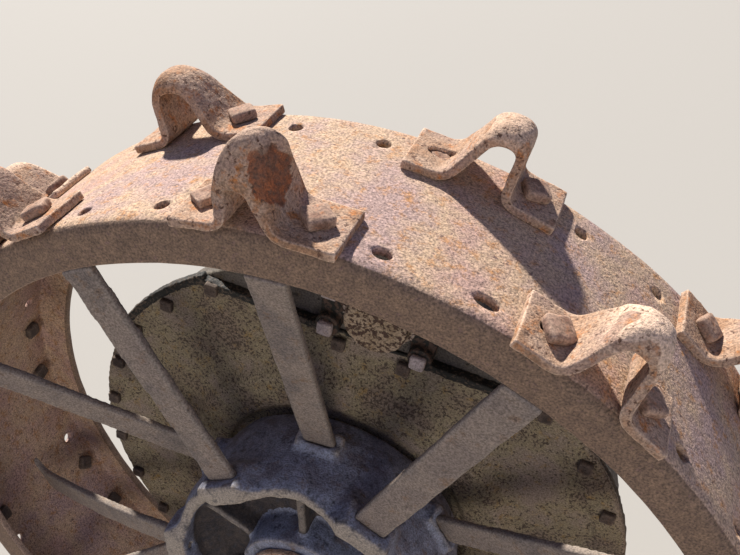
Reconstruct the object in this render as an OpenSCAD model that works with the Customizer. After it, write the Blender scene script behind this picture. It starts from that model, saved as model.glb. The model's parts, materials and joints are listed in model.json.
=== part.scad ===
// Steel lugged driving wheel with the drop gear case that carries it.
// The wheel turns about Y, +Z is up and -Y is the outboard side.
// The origin is the centre of the bolted flange on the back of the case,
// on the pinion axis. Lengths are in millimetres, angles in degrees from the top.

/* [Wheel rim] */
// Outer radius of the rolled band, a 38 inch wheel
wheel_r = 483; // [455:1:520]
// Width of the rim over both lips, 8 inches
rim_w = 203; // [190:1:230]
// Thickness of the rolled band
band_t = 8; // [6:0.5:10]
// Depth of the outboard lip, from the band's outer face
near_lip = 41; // [30:1:50]
// Depth of the inboard lip, from the band's outer face
far_lip = 48; // [30:1:55]
// Thickness of both lips
lip_t = 10; // [8:0.5:13]
// Outside radius of the rolled corners
corner_r = 12; // [11:0.5:16]

/* [Lugs] */
// Pairs of lug holes round the rim, an even number
pair_count = 22; // [20:2:22]
// Chord between the two holes of a pair
pair_gap = 85; // [78:1:88]
// Radius of a lug hole in the band
hole_r = 7; // [5:0.5:8]
// Outboard hole row, from the outboard edge
near_row = 24; // [22:1:30]
// Inboard hole row, from the inboard edge
far_row = 34; // [30:1:40]
// Thickness of the bent lug plate
lug_t = 10; // [8:0.5:12]
// Width of a lug at its feet
lug_w = 62; // [54:1:68]
// Width of a lug at its ridge
ridge_w = 44; // [34:1:50]
// Height of the ridge over the band
lug_h = 70; // [60:1:80]
// Distance between the feet, under the bends
lug_mouth = 40; // [34:1:46]
// Length of a foot past its bolt
toe = 27; // [20:1:29]
// Centreline radius of the bends at the feet
foot_bend = 12; // [9:0.5:15]
// Centreline radius of the bend at the ridge
ridge_bend = 12; // [9:0.5:15]

/* [Spokes] */
// Width of a spoke bar
spoke_w = 37; // [30:1:44]
// Thickness of a spoke bar
spoke_t = 9; // [7:0.5:11]
// Depth of a spoke in its socket
spoke_in = 22; // [16:1:24]
// How far the rim end of the one bent spoke has been knocked inboard
knocked_in = 88; // [60:1:110]

/* [Hub] */
// Radius of the hub at its open front and at its back
hub_r = 150; // [144:1:156]
// Radius of the hub's drum between its two rings of sockets
drum_r = 158; // [152:1:162]
// Wall of the hub round its open front
hub_wall = 9; // [7:0.5:12]
// Depth of the open front of the hub
hub_cup = 56; // [40:1:62]
// Radius of the flat floor of the open front
floor_r = 118; // [105:1:126]
// Radius of the inner boss round the bore
boss_r = 72; // [66:1:80]
// Set-back of the boss behind the outboard edge of the rim
boss_y = 14; // [8:1:20]
// Depth of the scallops between the front sockets
scallop = 18; // [8:1:22]
// Radius of the scallops
scallop_r = 90; // [70:1:110]
// Width of the shell's front where it is drawn out to a socket
petal_w = 100; // [80:1:120]
// Radius at which the sockets end
socket_r = 167; // [162:1:176]
// Wall of a socket round its spoke
socket_wall = 8; // [6:0.5:10]
// Middle of the outboard ring of sockets, from the outboard edge
front_ring = 19; // [17:1:24]
// Middle of the inboard ring of sockets, from the outboard edge
rear_ring = 83; // [78:1:88]
// Inboard face of the hub's back flange, from the outboard edge
hub_back = 130; // [126:1:132]
// Length of the taper from the drum to the hub's back edge
hub_taper = 34; // [20:1:40]
// Radius of the neck that enters the case
neck_r = 92; // [84:1:94]

/* [Spindle] */
// Radius of the fixed spindle
spindle_r = 45; // [36:1:52]
// Radial running clearance of the hub and of the pinion shaft
running = 0.05; // [0.02:0.01:0.08]
// Radius of the hub cap flange
cap_r = 60; // [54:1:64]
// Height of the hub cap dome
cap_h = 30; // [20:1:40]
// Radius of the spindle's threaded end
thread_r = 36; // [28:1:40]
// Size across the flats of the spindle nut
nut_af = 92; // [80:1:100]
// Thickness of the spindle nut
nut_t = 24; // [16:1:30]

/* [Drop gear case] */
// Distance from the hub axis up to the pinion axis
gear_c = 306; // [300:1:312]
// Backward lean of the pinion axis from straight above the hub
lean = 8.5; // [0:0.5:12]
// Outboard face of the front cover, from the outboard edge of the rim
cover_y = 140; // [138:1:146]
// Thickness of the front cover's bolting edge
cover_t = 10; // [8:0.5:14]
// Width of the front cover's bolting edge
cover_edge = 30; // [22:1:36]
// Outer radius of the case round the large gear
case_r = 335; // [325:1:345]
// Outer radius of the case round the pinion
top_r = 86; // [78:1:92]
// Distance from the hub axis to the straight top edge of the cover
chord = 266; // [255:1:272]
// Depth of the back half behind the cover
case_d = 84; // [70:1:100]
// Set-in of the back half's wall from its bolting edge
edge_w = 17; // [12:1:22]
// Thickness of the back half's bolting edge
edge_t = 12; // [8:1:16]
// Radius of the round pinion cap
pin_cap_r = 33; // [28:1:38]
// Reach of the pinion cap over the case face
pin_cap_h = 26; // [18:1:30]
// Thickness of the pinion cap's flange
cap_plate = 8; // [6:0.5:10]
// Radius of the bosses under the pinion cap's bolts
ear_r = 13; // [11:0.5:15]
// Distance of those bosses from the middle of the cap, along the cover's edge
ear_x = 50; // [48:1:56]
// Reach of those bosses over the case face
ear_h = 20; // [12:1:24]

/* [Axle flange] */
// Radius of the bolted flange
flange_r = 96; // [92:1:102]
// Thickness of the bolted flange
flange_t = 16; // [12:1:20]
// Distance from the back of the case to the face of the flange
flange_out = 44; // [36:1:60]
// Bolt circle of the flange
flange_pcd = 160; // [156:1:164]
// Number of flange bolts
flange_bolts = 6; // [4:1:8]
// Radius of a flange bolt hole
flange_hole = 7; // [5:0.5:9]
// Radius of the pinion shaft in its bearing
journal_r = 28; // [25:1:32]
// Radius of the keyed end of the pinion shaft
shaft_r = 24; // [20:1:24]
// Free length of the pinion shaft past the flange
shaft_out = 40; // [30:1:60]

/* [Hidden] */
$fn = 96;
// Clearance between pieces that are fixed to each other
seat = 0.1;
// Overlap that joins solids of one piece, and overshoot of cuts
bite = 1;
// Steps of a bend in the lug plate, and of the hub cap's dome
bend_n = 6;
dome_n = 8;
step = 360 / pair_count;
// Angle of the first lug's middle, and half the angle between its bolts
lug_turn = -0.6;
half_pair = asin(pair_gap / 2 / wheel_r);
band_in = wheel_r - band_t;
near_in = wheel_r - near_lip;
far_in = wheel_r - far_lip;
near_y = near_row;
far_y = rim_w - far_row;
inner_corner = corner_r - band_t;
bar_w = spoke_w + 2 * seat;
bar_t = spoke_t + 2 * seat;
spoke_end_y = spoke_t / 2;
half_socket = spoke_w / 2 + socket_wall;
petal_y = front_ring + spoke_t / 2 + socket_wall;
cup_in = hub_r - hub_wall;
rear_face = cover_y + cover_t;
neck_end = rear_face + 8;
neck_gap = 8;
recess_d = 17;
back_y = rear_face + case_d;
face_y = back_y + flange_out;
shaft_seat = rear_face + 24;
bore_r = 42;
lip_front = boss_y - 8;
spindle_front = boss_y + 6;
hub_x = -gear_c * sin(lean);
hub_z = -gear_c * cos(lean);

// Spokes: angle at the hub, angle at the rim, ring of sockets 0 front and 1 rear,
// and how far the rim end has been knocked inboard
HUB_A = 0;
RIM_A = 1;
RING = 2;
KNOCKED = 3;
SPOKES = [
  [0, 0, 1, 0],
  [30, 28.5, 0, 0],
  [60, 60, 1, 0],
  [90, 90, 0, 0],
  [120, 120, 1, 0],
  [150, 150, 0, 0],
  [180, 180, 1, 0],
  [210, 210, 0, 0],
  [240, 240, 1, 0],
  [270, 256, 0, knocked_in],
  [300, 300, 1, 0],
  [330, 335, 0, 0],
];

// Wear of single lugs: place, turn of the ridge, loss of height, hole lengths
WEAR = [
  [0, -4, 0, 0, 0],
  [1, 6, 5, 12, 8],
  [2, -1, 0, 12, 6],
  [3, 0, 4, 6, 8],
  [7, 5, 3, 0, 6],
  [10, -4, 6, 0, 0],
  [13, 3, 2, 8, 0],
  [16, -6, 4, 0, 4],
  [19, 4, 3, 0, 0],
  [21, -12, 8, 0, 0],
];
function lookup_wear(i) =
  let (found = [for (w = WEAR) if (w[0] == i) w])
    len(found) > 0 ? found[0] : [i, 0, 0, 0, 0];

// Lugs: place round the rim, row 0 outboard and 1 inboard, turn of the ridge
// along the rim, loss of height by wear, length of the worn hole in each foot
PLACE = 0;
ROW = 1;
LEAN = 2;
WORN = 3;
LEFT_HOLE = 4;
RIGHT_HOLE = 5;
LUGS = [
  for (i = [0 : pair_count - 1])
    let (own = lookup_wear(i))
      [i, i % 2, own[1], own[2], own[3], own[4]]
];

// Worn holes of the band: place, row, side of the pair, added length
WORN_HOLES = [
  [1, 0, 1, 8],
  [1, 0, -1, 3],
  [3, 0, -1, 2],
  [4, 1, 1, 4],
];

// Places
// Wheel frame: hub axis along Y, y = 0 at the outboard edge of the rim
module at_wheel() translate([hub_x, -face_y, hub_z]) children();
// Pinion frame: same y, on the pinion axis
module at_pinion() translate([0, -face_y, 0]) children();
// A piece drawn at the top of the wheel, turned to an angle from the top
module at_angle(a) rotate([0, a, 0]) children();
// A profile of radius and y, spun about the Y axis
module spun() rotate([-90, 0, 0]) rotate_extrude() children();
// A round bar along Y
module round_bar(r, y0, y1) translate([0, y0, 0]) rotate([-90, 0, 0]) cylinder(r = r, h = y1 - y0);
// An outline in x and z, from y0 to y1
module slab(y0, y1) translate([0, y1, 0]) rotate([90, 0, 0]) linear_extrude(y1 - y0) children();

// A hole that has worn long, drawn about its middle
module long_hole(r, long) {
  translate([-long / 2, 0]) circle(r, $fn = 32);
  translate([long / 2, 0]) circle(r, $fn = 32);
  if (long > 0) square([long, 2 * r], center = true);
}

// Bent plate: a path of corners becomes an outline with rounded bends
function unit(v) = v / norm(v);
function across(p, q) = let (u = unit(q - p)) [-u[1], u[0]];
function miter(p0, p1, p2, d) =
  let (a = across(p0, p1), b = across(p1, p2)) p1 + (a + b) * d / (1 + a * b);
function bend(p0, p1, p2, r) =
  let (
    a = unit(p0 - p1),
    b = unit(p2 - p1),
    half = acos(a * b) / 2,
    c = p1 + unit(a + b) * r / sin(half),
    s = p1 + a * r / tan(half) - c,
    e = p1 + b * r / tan(half) - c,
    a0 = atan2(s[1], s[0]),
    turn = atan2(s[0] * e[1] - s[1] * e[0], s * e)
  )
    [for (i = [0 : bend_n]) c + r * [cos(a0 + turn * i / bend_n), sin(a0 + turn * i / bend_n)]];
function face_of(path, radii, d) =
  let (
    n = len(path) - 1,
    m = [for (i = [1 : n - 1]) miter(path[i - 1], path[i], path[i + 1], d)],
    ends = [path[0] + across(path[0], path[1]) * d, path[n] + across(path[n - 1], path[n]) * d],
    all = concat([ends[0]], m, [ends[1]])
  )
    concat(
      [all[0]],
      [for (i = [1 : n - 1]) for (p = bend(all[i - 1], all[i], all[i + 1], radii[i - 1])) p],
      [all[n]]
    );
function reversed(v) = [for (i = [len(v) - 1 : -1 : 0]) v[i]];

// Rim: rolled band with both edges turned inward
module rim_profile() {
  difference() {
    union() {
      translate([near_in, 0]) square([near_lip - corner_r, lip_t]);
      translate([far_in, rim_w - lip_t]) square([far_lip - corner_r, lip_t]);
      translate([band_in, corner_r]) square([band_t, rim_w - 2 * corner_r]);
      translate([wheel_r - corner_r, corner_r]) circle(corner_r);
      translate([wheel_r - corner_r, rim_w - corner_r]) circle(corner_r);
    }
    translate([wheel_r - corner_r - bite, corner_r])
      square([corner_r + bite - band_t, rim_w - 2 * corner_r]);
    translate([wheel_r - 2 * corner_r, lip_t])
      square([2 * corner_r - band_t - inner_corner, rim_w - 2 * lip_t]);
  }
}

module band_holes() {
  for (i = [0 : pair_count - 1]) for (row = [0, 1]) for (side = [-1, 1]) {
    worn = [for (w = WORN_HOLES) if (w[0] == i && w[1] == row && w[2] == side) w[3]];
    at_angle(lug_turn + i * step + side * half_pair)
      translate([0, row == 0 ? near_y : far_y, band_in - bite])
        linear_extrude(band_t + 2 * bite) long_hole(hole_r, len(worn) > 0 ? worn[0] : 0);
  }
}

module rim() {
  color([0.50, 0.40, 0.34]) at_wheel() difference() {
    spun() rim_profile();
    band_holes();
  }
}

// Lugs: an inverted V bent from flat plate, its ridge along the axle
module lug(row) {
  half = lug_t / 2;
  y = LUGS[row][ROW] == 0 ? near_y : far_y;
  bolt = [wheel_r * sin(half_pair), wheel_r * cos(half_pair) - wheel_r];
  along = [cos(half_pair), -sin(half_pair)];
  out = [sin(half_pair), cos(half_pair)];
  foot = bolt + out * (half + seat);
  knee = foot - along * (bolt[0] - lug_mouth / 2 - half);
  flip = [[-1, 0], [0, 1]];
  top = [LUGS[row][LEAN], lug_h - LUGS[row][WORN] - half];
  path = [flip * (foot + along * toe), flip * knee, top + [0, ridge_bend * 0.35], knee, foot + along * toe];
  outer = face_of(path, [foot_bend - half, ridge_bend + half, foot_bend - half], -half);
  inner = face_of(path, [foot_bend + half, ridge_bend - half, foot_bend + half], half);
  color([0.60, 0.42, 0.32]) at_wheel() at_angle(lug_turn + LUGS[row][PLACE] * step)
    translate([0, y, wheel_r]) difference() {
      intersection() {
        rotate([90, 0, 0]) linear_extrude(lug_w, center = true) polygon(concat(outer, reversed(inner)));
        rotate([90, 0, 90]) linear_extrude(4 * lug_w, center = true) lug_front();
      }
      for (side = [-1, 1])
        translate([side * bolt[0], 0, bolt[1]]) rotate([0, side * half_pair, 0])
          linear_extrude(2 * lug_t, center = true)
            long_hole(hole_r + 0.5, LUGS[row][side < 0 ? LEFT_HOLE : RIGHT_HOLE]);
    }
}

// Front view of a lug: full width at the feet, narrower at the ridge
module lug_front() {
  wide = lug_w / 2;
  thin = ridge_w / 2;
  polygon([
    [-wide, -2 * lug_t], [wide, -2 * lug_t], [wide, lug_t], [thin + 2, lug_h - lug_t],
    [thin - 3, lug_h + lug_t], [3 - thin, lug_h + lug_t], [-thin - 2, lug_h - lug_t], [-wide, lug_t],
  ]);
}

// Spokes: flat bars from two rings of hub sockets to the outboard lip
function ring_y(s) = s[RING] == 0 ? front_ring : rear_ring;
// Place of a spoke's end, in x, y and z, at radius r and angle a
function polar(r, a, y) = [r * sin(a), y, r * cos(a)];
function hub_end(s) = polar(socket_r, s[HUB_A], ring_y(s));
function rim_end(s) = polar(near_in, s[RIM_A], spoke_end_y + s[KNOCKED]);

// A frame at the spoke's socket, with z along the bar and y through its thickness
module along_spoke(s) {
  d = rim_end(s) - hub_end(s);
  out = norm([d[0], d[2]]);
  translate(hub_end(s)) rotate([0, atan2(d[0], d[2]), 0]) rotate([-atan2(d[1], out), 0, 0]) children();
}

module bar(s, w, t, z0, z1) along_spoke(s) translate([-w / 2, -t / 2, z0]) cube([w, t, z1 - z0]);

module spoke(i) {
  s = SPOKES[i];
  long = norm(rim_end(s) - hub_end(s));
  color([0.42, 0.39, 0.35]) at_wheel() intersection() {
    bar(s, spoke_w, spoke_t, -spoke_in, long + 2 * near_lip);
    round_bar((s[KNOCKED] > 0 ? band_in : near_in) - seat, -rim_w, 2 * rim_w);
  }
}

// Hub: an open fronted drum with two rings of spoke sockets
module hub_profile() {
  groove = boss_r + hub_wall;
  polygon([
    [spindle_r + running, boss_y], [groove, boss_y], [groove, 0], [hub_r, 0],
    [drum_r, petal_y], [drum_r, hub_back - hub_taper], [hub_r, hub_back],
    [neck_r, hub_back], [neck_r, neck_end], [spindle_r + running, neck_end],
  ]);
}

// The open cup in the front of the hub
module cup_profile() {
  polygon([
    [boss_r, -hub_wall], [cup_in, -hub_wall], [cup_in, petal_y],
    [floor_r, hub_cup], [boss_r, hub_cup],
  ]);
}

// A rib across the cup, behind each scallop
module cup_rib() {
  rib_y = scallop + hub_wall;
  rotate([0, -90, 0]) linear_extrude(hub_wall, center = true) polygon([
    [boss_r - bite, rib_y], [cup_in + bite, rib_y], [cup_in + bite, petal_y],
    [floor_r + bite, hub_cup + bite], [boss_r - bite, hub_cup + bite],
  ]);
}

// The front of the shell, drawn out to a flat at each outboard socket
// and tapered down to the drum behind it
module petals() {
  past = norm([socket_r, half_socket]) + bite;
  fade = petal_y + 2 * (socket_r - drum_r);
  intersection() {
    slab(0, fade) for (s = SPOKES) if (s[RING] == 0) rotate(-s[HUB_A]) polygon([
      [-petal_w / 2, cup_in - hub_wall], [-half_socket, socket_r],
      [half_socket, socket_r], [petal_w / 2, cup_in - hub_wall],
    ]);
    spun() polygon([[0, 0], [past, 0], [past, petal_y], [drum_r - bite, fade], [0, fade]]);
  }
}

// A socket's block round its spoke
module socket(s) bar(s, 2 * half_socket, spoke_t + 2 * socket_wall, drum_r - socket_r - hub_wall, 0);

module hub() {
  color([0.22, 0.22, 0.27]) at_wheel() difference() {
    union() {
      difference() {
        union() {
          spun() hub_profile();
          petals();
          for (s = SPOKES) if (s[RING] == 1) socket(s);
        }
        spun() cup_profile();
      }
      for (s = SPOKES) if (s[RING] == 1) at_angle(s[HUB_A]) cup_rib();
    }
    for (s = SPOKES) {
      bar(s, bar_w, bar_t, -spoke_in - seat, socket_r);
      if (s[RING] == 1) at_angle(s[HUB_A])
        translate([0, scallop - scallop_r, boss_r + hub_wall / 2]) cylinder(r = scallop_r, h = socket_r);
    }
  }
}

// Hub cap over the end of the spindle
module hub_cap() {
  ledge = 14;
  wall = 5;
  dome_r = cap_r - ledge;
  base = boss_y - seat;
  color([0.40, 0.30, 0.24]) at_wheel() difference() {
    union() {
      round_bar(cap_r, lip_front, base);
      spun() polygon(concat(
        [[0, base], [0, lip_front - cap_h]],
        [for (i = [1 : dome_n]) let (a = 90 * i / dome_n)
          [dome_r * sin(a), lip_front - cap_h * cos(a)]],
        [[dome_r, base]]
      ));
    }
    round_bar(dome_r - wall, lip_front - cap_h / 3, boss_y + bite);
  }
}

// Spindle: fixed in the back half, carries the hub
module spindle() {
  past_nut = 10;
  color([0.35, 0.33, 0.33]) at_wheel() {
    round_bar(spindle_r, spindle_front, back_y);
    round_bar(thread_r, back_y - bite, back_y + nut_t + past_nut);
  }
}

module spindle_nut() {
  color([0.38, 0.30, 0.26]) at_wheel() difference() {
    translate([0, back_y + seat, 0]) rotate([-90, 0, 0]) cylinder(d = nut_af / cos(30), h = nut_t, $fn = 6);
    round_bar(thread_r + seat, back_y - bite, back_y + nut_t + 2 * bite);
  }
}

// Drop gear case
module lean_up() at_angle(lean) children();

// Everything that lies past the cover's straight top edge
module past_chord(y0, y1) lean_up()
  translate([-case_r, y0, chord]) cube([2 * case_r, y1 - y0, case_r]);

module case_front() {
  dish = 4;
  ring_in = hub_r + 10;
  ring_w = 38;
  ring_h = 8;
  ring_out = ring_in + ring_w;
  rim_in = case_r - cover_edge;
  hole = neck_r + neck_gap;
  color([0.37, 0.34, 0.28]) at_wheel() difference() {
    spun() polygon([
      [hole, rear_face - seat], [hole, cover_y], [ring_in - ring_h, cover_y], [ring_in, cover_y - ring_h],
      [ring_out, cover_y - ring_h], [ring_out + 2 * ring_h, cover_y + dish], [rim_in - dish, cover_y + dish],
      [rim_in, cover_y], [case_r, cover_y], [case_r, rear_face - seat],
    ]);
    past_chord(cover_y - 2 * ring_h, rear_face + bite);
  }
}

// Outline of the case: an arc round each gear and the tangents between them
function arc(r, a0, a1, c, n) =
  [for (i = [0 : n]) let (a = a0 + (a1 - a0) * i / n) c + r * [sin(a), cos(a)]];
module case_outline(inset) {
  r1 = case_r - inset;
  r2 = top_r - inset;
  a = acos((r1 - r2) / gear_c);
  polygon(concat(arc(r2, -a, a, [0, gear_c], 20), arc(r1, a, 360 - a, [0, 0], 80)));
}

module case_back() {
  boss_wall = 30;
  boss = spindle_r + boss_wall;
  fillet_room = 8;
  neck = flange_pcd / 2 - flange_hole - fillet_room;
  rib_t = 12;
  rib_h = 10;
  color([0.34, 0.31, 0.27]) difference() {
    union() {
      at_wheel() {
        lean_up() {
          slab(rear_face, rear_face + edge_t) case_outline(0);
          slab(rear_face + bite, back_y - rib_h) case_outline(edge_w);
        }
        round_bar(boss, rear_face + bite, back_y);
        intersection() {
          for (a = [0 : 60 : 300]) at_angle(a + lean)
            translate([-rib_t / 2, rear_face + edge_t, 0]) cube([rib_t, case_d - edge_t, case_r]);
          lean_up() slab(rear_face, back_y - rib_h / 2) case_outline(edge_w + rib_h);
        }
      }
      at_pinion() {
        round_bar(neck, rear_face + edge_t, face_y);
        round_bar(flange_r, face_y - flange_t, face_y);
      }
    }
    at_wheel() {
      round_bar(neck_r + neck_gap + 4, rear_face - bite, rear_face + recess_d);
      round_bar(spindle_r + running, rear_face, back_y + bite);
    }
    at_pinion() {
      round_bar(journal_r + running, shaft_seat, face_y + bite);
      round_bar(bore_r, back_y, face_y + bite);
      for (i = [0 : flange_bolts - 1]) at_angle(30 + i * 360 / flange_bolts)
        translate([0, 0, flange_pcd / 2]) round_bar(flange_hole, face_y - 2 * flange_t, face_y + bite);
    }
  }
}

// Pinion cap: round bearing cap with a boss for each of its four bolts,
// on the case above the cover
module pinion_cap() {
  edge = 3;
  wall = 6;
  cover_gap = 2;
  ear_z = gear_c - chord - cover_gap - ear_r;
  front = rear_face - seat;
  top = front - pin_cap_h;
  color([0.42, 0.37, 0.29]) at_pinion() lean_up() difference() {
    union() {
      slab(front - cap_plate, front) {
        circle(gear_c - chord - cover_gap);
        for (side = [-1, 1]) translate([side * ear_x, 0]) square([2 * ear_r, 2 * ear_z], center = true);
        square([2 * ear_x, 2 * ear_r], center = true);
      }
      for (x = [-ear_x, ear_x]) for (z = [-ear_z, ear_z])
        translate([x, 0, z]) round_bar(ear_r, front - ear_h, front);
      spun() polygon([
        [0, front - bite], [0, top], [pin_cap_r - edge, top], [pin_cap_r, top + edge],
        [pin_cap_r, front - bite],
      ]);
    }
    round_bar(pin_cap_r - wall, top + wall, front + bite);
  }
}

// Pinion shaft: drives the closed gears, its keyed end stands out of the flange
module pinion_shaft() {
  key_w = 10;
  key_d = 5;
  key_l = shaft_out - 5;
  tip = face_y + shaft_out;
  color([0.45, 0.42, 0.40]) at_pinion() difference() {
    union() {
      round_bar(journal_r, shaft_seat + bite, face_y - flange_t);
      round_bar(shaft_r, face_y - flange_t - bite, tip);
    }
    translate([-key_w / 2, tip - key_l, shaft_r - key_d]) cube([key_w, key_l + bite, 2 * key_d]);
  }
}

rim();
hub();
hub_cap();
spindle();
spindle_nut();
case_front();
case_back();
pinion_cap();
pinion_shaft();
for (i = [1 : len(SPOKES)]) spoke(i - 1);
for (i = [1 : pair_count]) lug(i - 1);
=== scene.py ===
# %% [markdown]
# # A steel lugged tractor wheel
# This lesson dresses a wheel that was first built as solids. The wheel has a
# rolled steel rim with bent plate lugs, twelve flat spokes and a cast hub, and it
# turns on the spindle of a round drop gear case. The solids give every size. Here
# each one is worn, pitted and rusted, and gets the bolts that hold it, so that it
# looks as old as the real one.

# %% Load the frame
import json
import math

import bmesh
import bpy
from mathutils import Matrix, Vector, noise


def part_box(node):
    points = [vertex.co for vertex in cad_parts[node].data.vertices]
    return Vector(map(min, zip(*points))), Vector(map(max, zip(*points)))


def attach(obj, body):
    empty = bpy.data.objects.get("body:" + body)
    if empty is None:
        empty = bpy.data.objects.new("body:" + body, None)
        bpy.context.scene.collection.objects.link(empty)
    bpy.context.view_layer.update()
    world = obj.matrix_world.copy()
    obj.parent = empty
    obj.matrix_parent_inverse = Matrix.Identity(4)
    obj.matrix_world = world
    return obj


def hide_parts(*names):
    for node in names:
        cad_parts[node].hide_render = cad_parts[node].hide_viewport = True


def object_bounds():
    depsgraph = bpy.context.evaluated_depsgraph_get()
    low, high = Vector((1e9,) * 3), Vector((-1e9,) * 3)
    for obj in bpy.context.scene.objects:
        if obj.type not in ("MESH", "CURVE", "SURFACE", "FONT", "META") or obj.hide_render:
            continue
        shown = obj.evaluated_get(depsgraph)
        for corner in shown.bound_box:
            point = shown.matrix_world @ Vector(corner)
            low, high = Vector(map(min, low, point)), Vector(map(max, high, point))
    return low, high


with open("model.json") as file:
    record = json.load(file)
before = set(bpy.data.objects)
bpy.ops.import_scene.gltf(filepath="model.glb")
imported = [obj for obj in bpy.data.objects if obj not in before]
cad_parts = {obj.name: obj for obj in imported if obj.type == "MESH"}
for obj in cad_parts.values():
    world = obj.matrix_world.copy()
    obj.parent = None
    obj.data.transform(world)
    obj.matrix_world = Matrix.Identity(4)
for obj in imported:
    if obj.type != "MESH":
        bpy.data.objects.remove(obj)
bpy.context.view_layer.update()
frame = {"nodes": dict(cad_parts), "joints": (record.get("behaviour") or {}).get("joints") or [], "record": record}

record = frame["record"]
body_of = {n: body for body, names in record["behaviour"]["bodies"].items() for n in names}

# %% [markdown]
# ## Where things are
# Nothing is measured twice. The hub's axis comes from the joint that turns the
# wheel, and the rim's own solid gives its radius and width. A place on the wheel is
# then an angle from the top, a radius, and a distance behind the outboard edge. The
# gear case leans back a little, so places on it are counted along its own middle.

# %% Sizes read from the frame
MM = 0.001
joint_at = {j["name"]: Vector(j["pos_m"]) for j in frame["joints"]}
rim_low, rim_high = (Vector(c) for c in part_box("rim"))
hub_axis = Vector((joint_at["wheel_spin"].x, rim_low.y, joint_at["wheel_spin"].z))
up_the_case = joint_at["pinion_spin"] - joint_at["wheel_spin"]
lean = math.degrees(math.atan2(up_the_case.x, up_the_case.z))
gear_gap = math.hypot(up_the_case.x, up_the_case.z)
rim_r = (rim_high.x - rim_low.x) / 2
rim_w = rim_high.y - rim_low.y
print("rim radius and width in mm:", round(rim_r / MM), round(rim_w / MM))
print("the case leans by degrees:", round(lean, 1))


def on_wheel(angle, radius, y):
    """A frame on the wheel: z points away from the hub, y inboard and x along the rim."""
    turn = Matrix.Rotation(math.radians(angle), 4, "Y")
    return Matrix.Translation(hub_axis) @ turn @ Matrix.Translation((0, y, radius))


def on_case(across, along, y):
    """A frame on the case: z points up its middle line, y inboard and x across it."""
    turn = Matrix.Rotation(math.radians(lean), 4, "Y")
    return Matrix.Translation(hub_axis) @ turn @ Matrix.Translation((across, y, along))


# %% [markdown]
# ## Colours and nodes
# Colours are picked as sRGB hex values, as in any paint program. Blender works in
# linear light, so one function turns them. A second function adds any node with
# its settings and links, and every finish below is a short list of such calls.

# %% Colour and node helpers


def linear(hex_value):
    """An sRGB hex colour as the linear values that Blender works in."""
    parts = [int(hex_value[i:i + 2], 16) / 255 for i in (0, 2, 4)]
    return [p / 12.92 if p <= 0.04045 else ((p + 0.055) / 1.055) ** 2.4 for p in parts] + [1]


def add(mat, kind, settings=None, links=None):
    """Adds a node to a material or world, with its values or colour stops, and links into it."""
    node = mat.node_tree.nodes.new(kind)
    for name, value in (settings or {}).items():
        if name == "stops":
            while len(node.color_ramp.elements) < len(value):
                node.color_ramp.elements.new(0.5)
            for element, (place, colour) in zip(node.color_ramp.elements, value):
                element.position = place
                element.color = linear(colour)
        elif hasattr(node, str(name)):
            setattr(node, name, value)
        else:
            node.inputs[name].default_value = value
    for name, output in (links or {}).items():
        mat.node_tree.links.new(output, node.inputs[name])
    return node


print("the middle grey 808080 in linear light:", round(linear("808080")[0], 3))

# %% [markdown]
# ## Old rusted iron
# Rust that has stood outdoors for decades is matt. Seen close it has layers: wide
# patches of three tints, orange freckles where it is fresh, black pits, and a grain
# like sandpaper. Each layer is a noise at its own size in mm. The grain of real
# rust is finer than a pixel, so it is drawn at about 2 mm, where it shows.
#
# Two layers are not noise. Edges that other things rubbed are paler, and they read
# the mesh's own "worn" value; on the ridges of some lugs it is partly a painted
# highlight. A piece may also have a second surface, such as the darker lip of the rim
# or oily dirt on a ledge, and that reads the value "second". On the lips and inside of
# the rim, deep in the hub and on the ledge and cap of the case it is partly painted
# shade. Both values are stored on the points, so they stay on the piece when it turns.

# %% The iron finish
BLACK, WHITE = "000000", "ffffff"
MULTIPLY = {"data_type": "RGBA", "blend_type": "MULTIPLY", 0: 1.0}
GRAIN_MM = 2.0


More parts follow.
